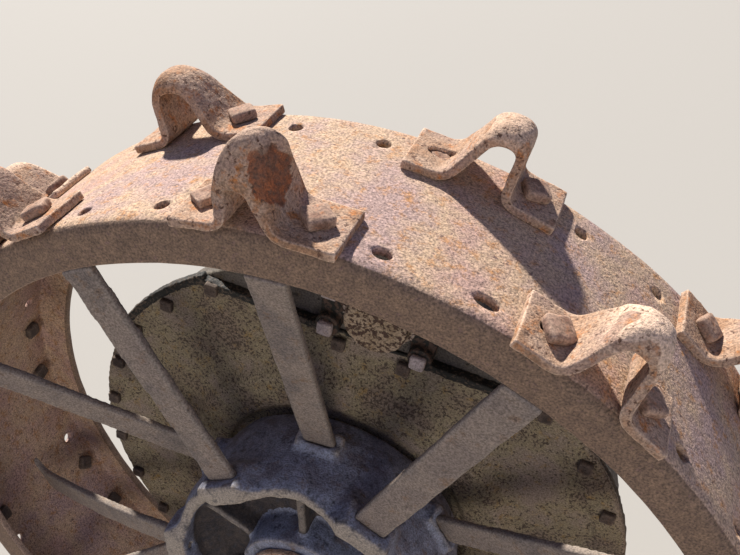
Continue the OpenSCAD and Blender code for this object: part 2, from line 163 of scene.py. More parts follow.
def iron(name, tints, fresh, pit, edge, second=("5a4838", "6c5846"), patch_mm=80, fresh_mm=14,
         pit_mm=7, fresh_from=0.56, pit_from=0.60, pit_step=0.08, pit_patches=0.0,
         grain_low="b4b4b4", roughness=0.9, second_roughness=0.8, bump_mm=0.7, metallic=0.0):
    """Rusted iron: tints in patches, fresh rust, a second surface, rubbed edges, pits, grain."""
    mat = bpy.data.materials.new(name)
    mat.use_nodes = True
    shader = mat.node_tree.nodes["Principled BSDF"]
    at = add(mat, "ShaderNodeTexCoord").outputs["Object"]
    # The size of each layer in mm, and the detail and roughness of its noise
    layers = ((patch_mm, 5, 0.62), (fresh_mm, 6, 0.72), (pit_mm, 4, 0.6), (GRAIN_MM, 3, 0.6))
    wide, spots, holes, grain = [
        add(mat, "ShaderNodeTexNoise",
            {"Scale": 1 / (size * MM), "Detail": detail, "Roughness": rough},
            {"Vector": at}).outputs["Fac"] for size, detail, rough in layers]
    worn = add(mat, "ShaderNodeAttribute", {"attribute_name": "worn"}).outputs["Fac"]
    other = add(mat, "ShaderNodeAttribute", {"attribute_name": "second"}).outputs["Fac"]

    # Three tints in wide patches, with freckles of fresh rust
    stops = list(zip((0.38, 0.50, 0.62), tints))
    tinted = add(mat, "ShaderNodeValToRGB", {"stops": stops}, {"Fac": wide}).outputs["Color"]
    stops = [(fresh_from, BLACK), (fresh_from + 0.14, WHITE)]
    where = add(mat, "ShaderNodeValToRGB", {"stops": stops}, {"Fac": spots}).outputs["Color"]
    rusty = add(mat, "ShaderNodeMix", {"data_type": "RGBA", 7: linear(fresh)},
                {0: where, 6: tinted}).outputs[2]
    # The second surface, with a ragged border. In some places it is partly painted shade
    ragged = add(mat, "ShaderNodeMath", {"operation": "MULTIPLY_ADD", 1: 0.6},
                 {0: spots, 2: other}).outputs[0]
    second_share = add(mat, "ShaderNodeValToRGB", {"stops": [(0.66, BLACK), (0.94, WHITE)]},
                  {"Fac": ragged}).outputs["Color"]
    under = add(mat, "ShaderNodeValToRGB", {"stops": [(0.38, second[0]), (0.62, second[1])]},
                {"Fac": spots}).outputs["Color"]
    both = add(mat, "ShaderNodeMix", {"data_type": "RGBA"},
               {0: second_share, 6: rusty, 7: under}).outputs[2]
    # Rubbed edges, and pale ridge tops of some lugs that are partly a painted highlight
    where = add(mat, "ShaderNodeValToRGB", {"stops": [(0.15, BLACK), (0.75, WHITE)]},
                {"Fac": worn}).outputs["Color"]
    rubbed = add(mat, "ShaderNodeMix", {"data_type": "RGBA", 7: linear(edge)},
                 {0: where, 6: both}).outputs[2]
    # Pits, which may crowd in some of the wide patches, and the grain over all
    crowded = add(mat, "ShaderNodeMath", {"operation": "MULTIPLY_ADD", 1: pit_patches},
                  {0: wide, 2: holes}).outputs[0]
    pit_low = pit_from + pit_patches / 2
    stops = [(pit_low, BLACK), (pit_low + pit_step, WHITE)]
    where = add(mat, "ShaderNodeValToRGB", {"stops": stops}, {"Fac": crowded}).outputs["Color"]
    pitted = add(mat, "ShaderNodeMix", {"data_type": "RGBA", 7: linear(pit)},
                 {0: where, 6: rubbed}).outputs[2]
    sand = add(mat, "ShaderNodeValToRGB", {"stops": [(0.36, grain_low), (0.64, WHITE)]},
               {"Fac": grain}).outputs["Color"]
    final = add(mat, "ShaderNodeMix", MULTIPLY, {6: pitted, 7: sand}).outputs[2]
    mat.node_tree.links.new(final, shader.inputs["Base Color"])

    # Pits sink in and the grain stands up
    dents = add(mat, "ShaderNodeBump",
                {"invert": True, "Strength": 0.8, "Distance": 2 * bump_mm * MM},
                {"Height": holes}).outputs["Normal"]
    sandy = add(mat, "ShaderNodeBump", {"Strength": 0.8, "Distance": bump_mm * MM},
                {"Height": grain, "Normal": dents}).outputs["Normal"]
    mat.node_tree.links.new(sandy, shader.inputs["Normal"])
    gloss = add(mat, "ShaderNodeMix", {"data_type": "FLOAT", 2: roughness, 3: second_roughness},
                {0: second_share})
    mat.node_tree.links.new(gloss.outputs[0], shader.inputs["Roughness"])
    shader.inputs["Metallic"].default_value = metallic
    shader.inputs["IOR"].default_value = 1.5
    return mat


# %% Finishes of the plates and bars
# Rolled steel band: dry pinkish rust on the tread, and a darker smooth brown on the lips and inside, which is
# partly painted shade
band_rust = iron("rolled_steel_rust", ("c09c8c", "ccac8c", "b89a90"), "c08a58", "84685c", "ccae98",
                 second=("7c6452", "947860"), patch_mm=110, fresh_mm=12, fresh_from=0.53, pit_mm=5,
                 grain_low="a4a4a4")
# Bent plate of the lugs: thick rust, pale where it is rubbed and on ridge tops partly as a painted highlight, dark
# red where layers came off
lug_rust = iron("bent_plate_rust", ("b0907c", "bc9c82", "ac8464"), "b8743a", "6a4a38", "e2c2a6",
                second=("664c3e", "a05c34"), patch_mm=45, fresh_from=0.53, pit_mm=5,
                pit_from=0.58, bump_mm=0.9)
# Flat bar of the spokes: rust under a coat of dry grey mud
bar_dust = iron("flat_bar_dust", ("8a7b70", "968678", "7c7068"), "86694f", "524844", "968a7e",
                patch_mm=60, pit_from=0.66, bump_mm=0.4)
print("finishes of plates and bars:", len(bpy.data.materials))

# %% Finishes of the castings
# Cast iron of the hub: soaked with old oil, so it is dark, a little blue and glossier. Its second colours are
# painted shade deep in its open front
oily_iron = iron("oily_cast_iron", ("7c7e8c", "9498a8", "76727c"), "7e6c62", "3c3c44", "aa9c8c",
                 second=("302c30", "564a44"), patch_mm=40, pit_mm=9, pit_from=0.54, pit_step=0.2,
                 roughness=0.62, bump_mm=0.9)
# Cast iron of the cover: olive grey, crowded with dark brown speckles, and black on its ledge that is oil and
# partly painted shade
cover_iron = iron("speckled_cast_iron", ("9a8878", "988a6c", "887664"), "a08048", "54463a",
                  "a0907f", second=("0c0b0a", "1c1a18"), patch_mm=70, pit_mm=3, pit_from=0.54,
                  pit_step=0.05, pit_patches=0.4, second_roughness=0.75)
# Cast iron of the pinion cap: coarse pale flakes over dark brown, and black on its flange that is oil and partly
# painted shade
cap_iron = iron("flaked_cast_iron", ("b49e84", "ac967a", "9a8468"), "a07c50", "543e32", "c8b4a4",
                second=("0c0b0a", "1c1a18"), patch_mm=20, pit_mm=5, pit_from=0.48, pit_step=0.06,
                second_roughness=0.75)
# Cast iron of the case behind the cover: smoother, grey brown
case_iron = iron("cast_iron_case", ("5e564e", "686058", "564c44"), "6c5a3e", "342e28", "6e665a")
print("finishes with those of the castings:", len(bpy.data.materials))

# %% Finishes of the turned and forged steel
# Turned steel of the spindle and the shaft, browned, so it still has a dull shine
turned_steel = iron("turned_steel_brown", ("5e5852", "6e6660", "625a54"), "6c5440", "38322c",
                    "8c8478", roughness=0.5, bump_mm=0.3, metallic=0.6)
# Forged bolt heads on the lugs, rusted like the lugs, rounder and pitted deeper
head_rust = iron("forged_bolt_rust", ("9a7a68", "a88872", "8c6854"), "b06c38", "543e30", "c4a48c",
                 patch_mm=20, fresh_mm=8, pit_mm=4)
# Forged nuts inside the band and small bolts in the shade: dark brown and dirty
nut_rust = iron("forged_nut_dirt", ("4a3c34", "564840", "3e322c"), "6a4c34", "241c18", "6c5c50",
                patch_mm=20, fresh_mm=8, pit_mm=4)
# Machined ends of the large cap bolts, wiped and pale
pale_bolt = iron("wiped_steel_bolt", ("b4a4a2", "bcacaa", "a89c98"), "a08c7c", "7c6c64", "ccbcb6",
                 patch_mm=20, fresh_mm=8, pit_mm=3, pit_from=0.68, roughness=0.6)
print("finishes in all:", len(bpy.data.materials))

# %% [markdown]
# ## Wearing a solid down
# A solid from CAD has sharp edges and true faces, and a part that has rusted for
# sixty years has neither. The copy of a solid is merged, because the imported mesh
# is loose triangles, and then remeshed to small even faces. A few smoothing steps
# round every edge, and noise moves each point along its normal. Where a point
# stands proud of its neighbours it is on an edge, and that is stored as "worn".

# %% Objects and merged copies


def new_object(name, mesh):
    """An object at the origin that holds this mesh."""
    item = bpy.data.objects.new(name, mesh)
    bpy.context.scene.collection.objects.link(item)
    return item


def solved(item):
    """The mesh that an object's modifiers make, as a bmesh. The object is used up."""
    depsgraph = bpy.context.evaluated_depsgraph_get()
    made = bpy.data.meshes.new_from_object(item.evaluated_get(depsgraph))
    bpy.data.objects.remove(item)
    bm = bmesh.new()
    bm.from_mesh(made)
    return bm


def fine_copy(node, voxel_mm):
    """A merged copy of a solid, remeshed to faces of one even size, as a bmesh."""
    bm = bmesh.new()
    bm.from_mesh(frame["nodes"][node].data)
    bmesh.ops.remove_doubles(bm, verts=bm.verts, dist=0.01 * MM)
    mesh = bpy.data.meshes.new(node)
    bm.to_mesh(mesh)
    bm.free()
    item = new_object(node, mesh)
    grid = item.modifiers.new("even faces", "REMESH")
    grid.mode = "VOXEL"
    grid.voxel_size = voxel_mm * MM
    return solved(item)


cap = frame["nodes"]["hub_cap"].data
print("hub cap before it is merged:", len(cap.vertices), "points,", len(cap.polygons), "faces")

# %% Wear
# A point that stands a quarter of a face proud of its neighbours is fully worn
PROUD = 4
# Each lump carries smaller ones: their share of its size and of its height
SMALL_SIZE, SMALL_HEIGHT = 0.4, 0.5


def clamp(value):
    """The value, kept between 0 and 1."""
    return max(0, min(1, value))


def smooth(bm, verts, rounds):
    """Moves points towards the middle of their neighbours, a few times over."""
    for _ in range(rounds):
        bmesh.ops.smooth_vert(bm, verts=verts, factor=0.5,
                              use_axis_x=True, use_axis_y=True, use_axis_z=True)


def wear(bm, size_mm, depth_mm, rounds, face_mm):
    """Rounds the edges, marks them as worn and moves the surface by noise of one size."""
    smooth(bm, bm.verts, rounds)
    bm.normal_update()
    worn = bm.verts.layers.float.new("worn")
    bm.verts.layers.float.new("second")
    moved = {}
    for v in bm.verts:
        near = [e.other_vert(v).co for e in v.link_edges]
        middle = sum(near, Vector()) / len(near)
        v[worn] = clamp(PROUD * (v.co - middle).dot(v.normal) / (face_mm * MM))
        small = noise.noise(v.co / (SMALL_SIZE * size_mm * MM))
        lump = noise.noise(v.co / (size_mm * MM)) + SMALL_HEIGHT * small
        moved[v] = v.normal * lump * depth_mm * MM
    for v, by in moved.items():
        v.co += by


def finished(name, bm, finish, slot, body, *nodes):
    """A bmesh as a smooth shaded piece that rides on a body and stands for these solids."""
    for face in bm.faces:
        face.smooth = True
    mesh = bpy.data.meshes.new(name)
    bm.to_mesh(mesh)
    bm.free()
    mesh.materials.append(finish)
    item = new_object(name, mesh)
    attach(item, body)
    if nodes:
        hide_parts(*nodes)
    return item


# %% [markdown]
# ## Lugs
# A lug is one plate bent into a steep ridge with two feet. It is made here as a
# smith would make it. A flat block is cut into small faces, and then each point goes
# to its place along a bent path, so the plate keeps its thickness round the bends.
# The path is a few corners, each rounded by its own reach. The plate narrows towards
# the ridge, whose ends droop, as the road wore them down. Worn lugs differ, so the
# ones that show have their own rows in a table.

# %% Places and sizes of the lugs
# The angle of the first lug from the top, and the gap between its two bolts
FIRST_LUG = -0.6
PAIR_GAP = 85 * MM
# The plates were 10 mm thick, and rust has taken a part of that
LUG_T, LUG_W, TOE = 8.5 * MM, 62 * MM, 27 * MM
near_row = 24 * MM
far_row = rim_w - 34 * MM
half_pair = math.degrees(math.asin(PAIR_GAP / 2 / rim_r))
lug_names = sorted((n for n in frame["nodes"] if n.startswith("lug_")), key=lambda n: int(n[4:]))
lug_step = 360 / len(lug_names)
# Columns in mm: the ridge's offset and height, left and right knee, reach of the ridge's two
# bends, half width and droop of the ridge at the near end, the same at the far end, worn length
# of the left and right hole, skew of the ridge. The last column says how far the ridge is made
# pale, from 0 to 1: partly rubbed, and partly a painted highlight.
PLAIN_LUG = (0, 70, 27, 25, 14, 14, 22, 9, 22, 9, 0, 0, 0, 0.3)
LUG_TABLE = {
    "lug_1": (-6, 75, 23, 18, 14, 13, 23, 34, 12, 8, 0, 0, 8, 0.0),
    "lug_2": (8, 66, 30, 22, 14, 12, 22, 9, 22, 9, 12, 8, 0, 0.5),
    "lug_3": (1, 69, 28, 25, 14, 14, 18, 12, 22, 9, 12, 6, 0, 0.9),
    "lug_4": (0, 66, 28, 25, 14, 14, 22, 9, 20, 9, 6, 8, 0, 0.6),
    "lug_22": (-14, 64, 27, 27, 18, 18, 20, 9, 20, 9, 0, 0, 0, 0.0),
}
BENDS, NEAR_END, FAR_END, HOLES = slice(0, 6), slice(6, 8), slice(8, 10), slice(10, 12)
HIGH, SKEW, RUB_AND_HIGHLIGHT = 1, 12, 13
# The first six columns again for a far end that is bent more sharply than the near end
FAR_BEND = {"lug_1": (0, 78, 23, 18, 5, 6)}


def row_of(i):
    """How far behind the outboard edge this lug's row of bolts lies."""
    return near_row if i % 2 == 0 else far_row


def bolt_angle(i, side):
    """The angle round the wheel of a lug's left bolt, side -1, or its right bolt, side 1."""
    return FIRST_LUG + i * lug_step + side * half_pair


print("lug places:", len(lug_names), "one each", round(lug_step, 2), "degrees")

# %% The bent path
KNEE_REACH = 13 * MM
BEND_STEPS = 8


def rounded(corners, steps):
    """The path through some corners, each given as two places and the reach of its bend."""
    path = []
    for i, (a, b, reach) in enumerate(corners):
        here = Vector((a, b))
        if reach == 0:
            path.append(here)
            continue
        back = (Vector(corners[i - 1][:2]) - here).normalized()
        on = (Vector(corners[(i + 1) % len(corners)][:2]) - here).normalized()
        for k in range(steps + 1):
            t = k / steps
            path.append(here + back * reach * (1 - t) ** 2 + on * reach * t ** 2)
    return path


def evenly(path, count):
    """The same path as evenly spaced points."""
    length = [0]
    for a, b in zip(path, path[1:]):
        length.append(length[-1] + (b - a).length)
    points = []
    k = 0
    for i in range(count + 1):
        goal = length[-1] * i / count
        while k < len(path) - 2 and length[k + 1] < goal:
            k += 1
        points.append(path[k].lerp(path[k + 1], (goal - length[k]) / (length[k + 1] - length[k])))
    return points


def lug_path(sizes):
    """The middle line of a bent plate: foot, knee, the two bends of the ridge, knee and foot."""
    lean_by, high, left, right, left_bend, right_bend = (v * MM for v in sizes[BENDS])
    turned = math.radians(half_pair)
    along = Vector((math.cos(turned), -math.sin(turned)))
    bolt = Vector((rim_r * math.sin(turned), rim_r * math.cos(turned) - rim_r))
    foot = bolt + Vector((math.sin(turned), math.cos(turned))) * (LUG_T / 2 + 0.1 * MM)
    toe = foot + along * TOE
    inner, outer = foot - along * (PAIR_GAP / 2 - left), foot - along * (PAIR_GAP / 2 - right)
    top = high - LUG_T / 2
    return rounded([
        (-toe.x, toe.y, 0), (-inner.x, inner.y, KNEE_REACH), (lean_by - left_bend, top, left_bend),
        (lean_by + right_bend, top, right_bend), (outer.x, outer.y, KNEE_REACH), (toe.x, toe.y, 0),
    ], BEND_STEPS)


print("points on the path of a plain lug:", len(lug_path(PLAIN_LUG)))

# %% The block and how it bends


def fine_block(bm, cuts):
    """Adds a block of size 1 about the middle, cut into small faces along each side."""
    bmesh.ops.create_cube(bm, size=1)
    for axis, count in enumerate(cuts):
        along = [e for e in bm.edges if abs((e.verts[0].co - e.verts[1].co)[axis]) > 0.001]
        bmesh.ops.subdivide_edges(bm, edges=along, cuts=count)


def bent_plate(place, sizes, far_sizes, stations, across, layers):
    """A lug as a bmesh: a fine block bent along its path, narrower and drooping at the ridge."""
    bm = bmesh.new()
    fine_block(bm, (stations - 1, across, layers))
    near_path, far_path = (evenly(lug_path(s), stations) for s in (sizes, far_sizes))
    ends = {-1: sizes[NEAR_END], 1: sizes[FAR_END]}
    for v in bm.verts:
        i = round((v.co.x + 0.5) * stations)
        before, here, after = (near_path[k].lerp(far_path[k], v.co.y + 0.5)
                               for k in (max(i - 1, 0), i, min(i + 1, stations)))
        ahead = (after - before).normalized()
        at = here + Vector((-ahead.y, ahead.x)) * v.co.z * LUG_T
        # From 0 at the feet to 1 at the ridge, with a soft start and a soft end
        rise = clamp(at.y / (sizes[HIGH] * MM))
        rise = rise * rise * (3 - 2 * rise)
        ridge, droop = (size * MM for size in ends[-1 if v.co.y < 0 else 1])
        wide = LUG_W / 2 + (ridge - LUG_W / 2) * rise
        skewed = at.x + sizes[SKEW] * MM * rise * 2 * v.co.y
        sunk = droop * rise * abs(2 * v.co.y) ** 3
        v.co = place @ Vector((skewed, 2 * v.co.y * wide, at.y - sunk))
    bmesh.ops.recalc_face_normals(bm, faces=bm.faces)
    return bm


# %% [markdown]
# The bolt holes go through both the lug's foot and the band, so one helper places a
# pin for each hole, and one boolean cuts all the pins out at once. A hole that a
# loose bolt has worn long gets a pin that is stretched along the rim.

# %% Bolt holes
HOLE_R = 7 * MM
PIN_LONG = 60 * MM


def drill(bm, angle, row, longer):
    """Adds a pin, where a bolt hole goes through the band and the lug's foot."""
    place = on_wheel(angle, rim_r, row) @ Matrix.Diagonal((1 + longer / (2 * HOLE_R), 1, 1, 1))
    bmesh.ops.create_cone(bm, cap_ends=True, segments=20, radius1=HOLE_R, radius2=HOLE_R,
                          depth=PIN_LONG, matrix=place)


def cut_out(bm, pins):
    """A bmesh with the holes of the pins. Both are used up."""
    pair = []
    for part in (bm, pins):
        mesh = bpy.data.meshes.new("cut")
        part.to_mesh(mesh)
        part.free()
        pair.append(new_object("cut", mesh))
    cut = pair[0].modifiers.new("holes", "BOOLEAN")
    cut.operation = "DIFFERENCE"
    cut.object = pair[1]
    made = solved(pair[0])
    bpy.data.objects.remove(pair[1])
    return made


print("bolt holes in mm:", round(2 * HOLE_R / MM), "wide,", round(PAIR_GAP / MM), "apart")

# %% [markdown]
# After the holes are cut, each plate is worn. One lug has lost layers of rust on its
# right leg. That leaves an oval patch with a ragged edge, dark red in the middle
# where the iron is bare and orange at the rim. The patch uses the second surface.

# %% The flaked patch
FLAKE_MIDDLE = Vector((-8 * MM, 45 * MM))
FLAKE_REACH = Vector((18 * MM, 21 * MM))
# The depth of the patch and the size of the lumps in it
FLAKE_DEEP, FLAKE_LUMP = 1.2 * MM, 4 * MM
# How ragged the patch's edge is, how long its teeth are, and how far rust passes the dent
RAGGED, TOOTH, BORDER = 0.3, 9 * MM, 1.2


def flaked(bm, place):
    """Marks the oval patch on the right leg as the second surface, and sinks it."""
    to_lug = place.inverted()
    second = bm.verts.layers.float["second"]
    for v in bm.verts:
        at = to_lug @ v.co
        off = Vector(((at.y - FLAKE_MIDDLE.x) / FLAKE_REACH.x,
                      (at.z - FLAKE_MIDDLE.y) / FLAKE_REACH.y)).length
        ragged = off + RAGGED * noise.noise(v.co / TOOTH)
        on_right_leg = at.x > -3 * MM and (to_lug.to_3x3() @ v.normal).x > 0.2
        if on_right_leg and ragged < BORDER:
            v[second] = clamp(3 * (BORDER - ragged))
            if ragged < 1:
                v.co -= v.normal * (1 + noise.noise(v.co / FLAKE_LUMP)) * FLAKE_DEEP


print("flaked patch in mm:", round(2 * FLAKE_REACH.x / MM), "by", round(2 * FLAKE_REACH.y / MM))

# %% Worn lugs
# Faces along, across and through the plate, of a lug that shows and of one that does not
FINE, COARSE = (130, 32, 5), (64, 16, 2)
in_view = {"lug_1", "lug_2", "lug_3", "lug_4", "lug_21", "lug_22"}
# The share of the height above which a ridge is made pale, partly rubbed and partly a painted highlight, and the
# size of the patches left dark
HIGHLIGHT_AND_RUB_FROM, DARK_PATCH = 0.4, 18 * MM

for i, name in enumerate(lug_names):
    sizes = LUG_TABLE.get(name, PLAIN_LUG)
    place = on_wheel(FIRST_LUG + i * lug_step, rim_r, row_of(i))
    faces = FINE if name in in_view else COARSE
    shape = bent_plate(place, sizes, FAR_BEND.get(name, sizes), *faces)
    pins = bmesh.new()
    for side, longer in zip((-1, 1), sizes[HOLES]):
        drill(pins, bolt_angle(i, side), row_of(i), longer * MM)
    shape = cut_out(shape, pins)
    wear(shape, size_mm=14, depth_mm=0.7, rounds=3, face_mm=2)
    worn = shape.verts.layers.float["worn"]
    to_lug = place.inverted()
    for v in shape.verts:
        rise = (to_lug @ v.co).z / (sizes[HIGH] * MM)
        # The top of the ridge is made pale: partly rubbed, partly a painted highlight
        if rise > HIGHLIGHT_AND_RUB_FROM and noise.noise(v.co / DARK_PATCH) > -0.2:
            v[worn] = max(v[worn], sizes[RUB_AND_HIGHLIGHT] * min(1, 2.5 * (rise - HIGHLIGHT_AND_RUB_FROM)))
    if name == "lug_1":
        flaked(shape, place)
    finished(name + "_worn", shape, lug_rust, "lug", "wheel", name)
print("lugs bent:", len(lug_names), "of them finely:", len(in_view))

# %% [markdown]
# ## Rim
# The rim was rolled from one plate: a flat band with both edges turned inward, and
# a row of bolt holes near each edge. It is one profile spun about the hub's axis,
# which gives even faces all round. A remesh would need four times as many. The
# holes are then cut with one boolean, and some have worn oval. Last, slow noise
# makes the band a little wavy, as a wheel is that has hit stones.

# %% Rim profile
NEAR_LIP, FAR_LIP = 41 * MM, 48 * MM
LIP_T, BAND_T = 10 * MM, 8 * MM
CORNER_R, INNER_R, EDGE_R = 12 * MM, 4 * MM, 3 * MM
RIM_STEPS = 440
FACE_MM = 7
near_in, far_in, band_in = rim_r - NEAR_LIP, rim_r - FAR_LIP, rim_r - BAND_T
outline = rounded([
    (near_in, 0, EDGE_R), (rim_r, 0, CORNER_R), (rim_r, rim_w, CORNER_R), (far_in, rim_w, EDGE_R),
    (far_in, rim_w - LIP_T, EDGE_R), (band_in, rim_w - LIP_T, INNER_R), (band_in, LIP_T, INNER_R),
    (near_in, LIP_T, EDGE_R),
], 4)
shape = bmesh.new()
ring = [shape.verts.new(hub_axis + Vector((0, p.y, p.x))) for p in outline]
edges = [shape.edges.new((a, b)) for a, b in zip(ring, ring[1:] + ring[:1])]
for edge in edges:
    cuts = int(edge.calc_length() / (FACE_MM * MM))
    if cuts:
        bmesh.ops.subdivide_edges(shape, edges=[edge], cuts=cuts)
bmesh.ops.spin(shape, geom=shape.verts[:] + shape.edges[:], cent=hub_axis, axis=(0, 1, 0),
               angle=2 * math.pi, steps=RIM_STEPS, use_merge=True)
bmesh.ops.recalc_face_normals(shape, faces=shape.faces)
print("rim faces before the holes:", len(shape.faces))

# %% Lug holes
# Added length of the worn holes, by place round the rim, row and side of the pair
WORN_HOLES = {(1, 0, 1): 8 * MM, (1, 0, -1): 3 * MM, (3, 0, -1): 2 * MM, (4, 1, 1): 4 * MM}
pins = bmesh.new()
for i in range(len(lug_names)):
    for row, y in enumerate((near_row, far_row)):
        for side in (-1, 1):
            drill(pins, bolt_angle(i, side), y, WORN_HOLES.get((i, row, side), 0))
shape = cut_out(shape, pins)
print("rim faces with", 4 * len(lug_names), "holes:", len(shape.faces))

# %% [markdown]
# The lips and the inside are a darker, smoother brown than the tread: partly a brown
# coat and partly painted shade. So the tread is the finish's first surface and the rest its second.

# %% Waves and the two surfaces of the rim
WAVE_MM, WAVE_DEPTH = 120, 1.2
DENT_MM, DENT_DEPTH = 18, 0.35
# Vector noise is another one in each run until it is seeded. With this seed the band meets the
# feet of all the lugs in view.
WAVE_SEED = 8
# The tread reaches this far below the top of the band and ends this far from its edges
TREAD_DEEP, TREAD_EDGE = 5 * MM, 4 * MM
# The share of the darker brown inside the band, partly painted shade, and how far and how much the near lip is
# rubbed
BROWN_AND_SHADE_INSIDE, LIP_EDGE, LIP_RUBBED = 0.35, 1.5 * MM, 0.5
worn = shape.verts.layers.float.new("worn")
second = shape.verts.layers.float.new("second")
shape.normal_update()
noise.seed_set(WAVE_SEED)
moved = {}
for v in shape.verts:
    at = v.co - hub_axis
    out = math.hypot(at.x, at.z)
    on_tread = out > rim_r - TREAD_DEEP and TREAD_EDGE < at.y < rim_w - TREAD_EDGE
    inside = out < rim_r and LIP_T < at.y < rim_w - LIP_T
    # The lips and the inside take the darker second surface, which is partly painted shade
    v[second] = 0 if on_tread else BROWN_AND_SHADE_INSIDE if inside else 1
    v[worn] = LIP_RUBBED if out < near_in + LIP_EDGE and at.y < LIP_T else 0
    wave = noise.noise_vector(v.co / (WAVE_MM * MM)) * WAVE_DEPTH
    moved[v] = (wave + v.normal * noise.noise(v.co / (DENT_MM * MM)) * DENT_DEPTH) * MM
for v, by in moved.items():
    v.co += by
rim = finished("rim_worn", shape, band_rust, "rim", "wheel", "rim")
print("rim points:", len(rim.data.vertices))

# %% [markdown]
# ## Spokes
# The spokes are flat bars set into the hub and fixed to the outboard lip. Eleven
# are straight. One has broken off the lip: it is bowed, its end is rounded, and it
# has been knocked inboard. The straight copy is bent by moving each point down by
# a parabola along the bar, and the end is narrowed to a half circle.

# %% Worn bars
# The angle of the broken bar, how far it bows, half its width, and how much of its end is gone
BROKEN_AT = 262
BOW, BAR_HALF, SHORT = 11 * MM, 18.5 * MM, 10 * MM
BAR_FACE_MM = 2.5
spoke_names = [n for n in frame["nodes"] if n.startswith("spoke_")]


def bow_and_round(bm, angle):
    """Bends a bar at this angle round the wheel downward, and rounds its free end."""
    ray = Vector((math.sin(math.radians(angle)), 0, math.cos(math.radians(angle))))
    out = {v: (v.co - hub_axis).dot(ray) for v in bm.verts}
    start, end = min(out.values()), max(out.values())
    side = Vector((-ray.z, 0, ray.x))
    middle = sum(((v.co - hub_axis).dot(side) for v in bm.verts), 0.0) / len(bm.verts)
    for v in bm.verts:
        along = (out[v] - start) / (end - start)
        left = end - out[v]
        if left < BAR_HALF:
            narrow = math.sqrt(max(0.02, 1 - (1 - left / BAR_HALF) ** 2))
            v.co += side * (middle - (v.co - hub_axis).dot(side)) * (1 - narrow)
        v.co += Vector((0, 0, -4 * BOW * along * (1 - along))) - ray * SHORT * along


for name in spoke_names:
    shape = fine_copy(name, BAR_FACE_MM)
    wear(shape, size_mm=40, depth_mm=0.9, rounds=2, face_mm=BAR_FACE_MM)
    if name == "spoke_10":
        bow_and_round(shape, BROKEN_AT)
    finished(name + "_worn", shape, bar_dust, "spoke", "wheel", name)
print("bars worn:", len(spoke_names))

# %% [markdown]
# ## Hub and case
# The castings are worn in the same way, with coarser faces on the larger ones. Sand
# moulds leave a lumpy skin, so the noise is stronger than on rolled plate. Painted
# shade darkens the deep open front of the hub, and black oil over the ledge and the
# cap is partly painted shade too. These places are the second surface of their
# finish. Where a point lies tells which one it has.

# %% Places on the castings
# The cover is a disc cut straight at its ledge: its radius, the height of the cut and its front
CASE_R, CHORD, COVER_FRONT = 335 * MM, 266 * MM, 140 * MM
# The ledge is taken from this far below the cut and from this far behind the front
LEDGE_SKIN, LEDGE_BACK = 2 * MM, 1 * MM
# The radius of the cap's dome, and the width of the rubbed ring at its foot
DOME_R, DOME_FOOT = 36 * MM, 3 * MM
# The front edge of the hub is rubbed from this radius on, down to this depth
HUB_RUB_R, HUB_RUB_Y = 128 * MM, 22 * MM
# The hub's open front: its two radii, the depth where the painted shade starts and the depth it fades over
CUP_INNER, CUP_OUTER = 76 * MM, 144 * MM
CUP_FROM, CUP_FADE = 16 * MM, 14 * MM
to_case = on_case(0, 0, 0).inverted()


def mark_casting(name, shape):
    """Stores where a casting is rubbed, where it is oily, and where it has painted shade."""
    worn = shape.verts.layers.float["worn"]
    second = shape.verts.layers.float["second"]
    for v in shape.verts:
        at = to_case @ v.co
        out = math.hypot(at.x, at.z)
        if name == "hub" and v.normal.y < -0.6 and at.y < HUB_RUB_Y and out > HUB_RUB_R:
            v[worn] = 0.8
        # Painted shade deep in the hub's open front
        if name == "hub" and at.y > CUP_FROM and CUP_INNER < out < CUP_OUTER:
            v[second] = min(1, (at.y - CUP_FROM) / CUP_FADE)
        above = at.z > CHORD - LEDGE_SKIN and at.y > COVER_FRONT + LEDGE_BACK
        from_cap = math.hypot(at.x, at.z - gear_gap)
        off_dome = from_cap > DOME_R + DOME_FOOT
        # The cover's ledge and the cap's flange are black: oil, and partly painted shade
        if name == "case_front" and above or name == "pinion_cap" and off_dome:
            v[second] = 1
            v[worn] = 0
        elif name == "pinion_cap" and from_cap > DOME_R:
            v[worn] = 1


print("the ledge lies", round(CHORD / MM), "mm above the hub's axis")

# %% Worn castings
CASTINGS = {
    # node: finish, slot, face size in mm, smoothing rounds, size and depth of the lumps in mm
    "hub": (oily_iron, "hub", 3.0, 3, 22, 1.1),
    "hub_cap": (lug_rust, "hub_cap", 2.0, 2, 20, 0.5),
    "spindle_nut": (nut_rust, "nut", 2.0, 2, 20, 0.5),
    "case_front": (cover_iron, "case_cover", 3.5, 1, 30, 0.8),
    "case_back": (case_iron, "case", 5.0, 2, 30, 0.8),
    "pinion_cap": (cap_iron, "pinion_cap", 1.8, 2, 10, 0.5),
}
for name, (finish, slot, face_mm, rounds, lump_mm, lump_deep) in CASTINGS.items():
    shape = fine_copy(name, face_mm)
    wear(shape, lump_mm, lump_deep, rounds, face_mm)
    mark_casting(name, shape)
    item = finished(name + "_worn", shape, finish, slot, body_of[name], name)
    print(name, "faces:", len(item.data.polygons))

# %% [markdown]
# The spindle and the pinion shaft hardly show. They keep their solids as they are,
# and get the finish of turned steel in place of the plain one.

# %% The two shafts
for name in ("spindle", "pinion_shaft"):
    frame["nodes"][name].data.materials.clear()
    frame["nodes"][name].data.materials.append(turned_steel)
    print(name, "has the finish", turned_steel.name)

# %% [markdown]
# ## Lug bolts
# Each foot of a lug is held by a forged bolt, with a nut inside the band. Some heads
# are still square, some have rusted round, and two have sunk into their worn holes. A
# head starts as a block that is cut into small faces and smoothed: two rounds leave
# it square with soft edges, and six make a knob. All heads are joined in one mesh.

# %% Shapes of the heads
HEAD_W, HEAD_H = 20 * MM, 9 * MM
